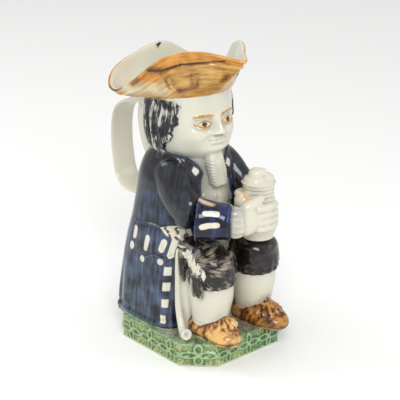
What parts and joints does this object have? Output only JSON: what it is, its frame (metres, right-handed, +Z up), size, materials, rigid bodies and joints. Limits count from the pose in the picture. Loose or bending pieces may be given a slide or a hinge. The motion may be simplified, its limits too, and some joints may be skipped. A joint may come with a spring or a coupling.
{
  "type": "toby jug",
  "caption": "Glazed earthenware jug moulded as a seated figure with a three-cornered hat for its mouth and a strap handle behind.",
  "frame": {"origin": "centre of the underside of the base, on the surface that the jug stands on", "axes": "+Z up the figure to the hat; the figure faces -Y, and its right arm and the handle's right edge are towards -X"},
  "size_m": [0.1138, 0.1799, 0.2464],
  "materials": {
    "pearlware": "gloss"
  },
  "bodies": {
    "root": {"toby_jug": "pearlware"}
  },
  "joints": []
}
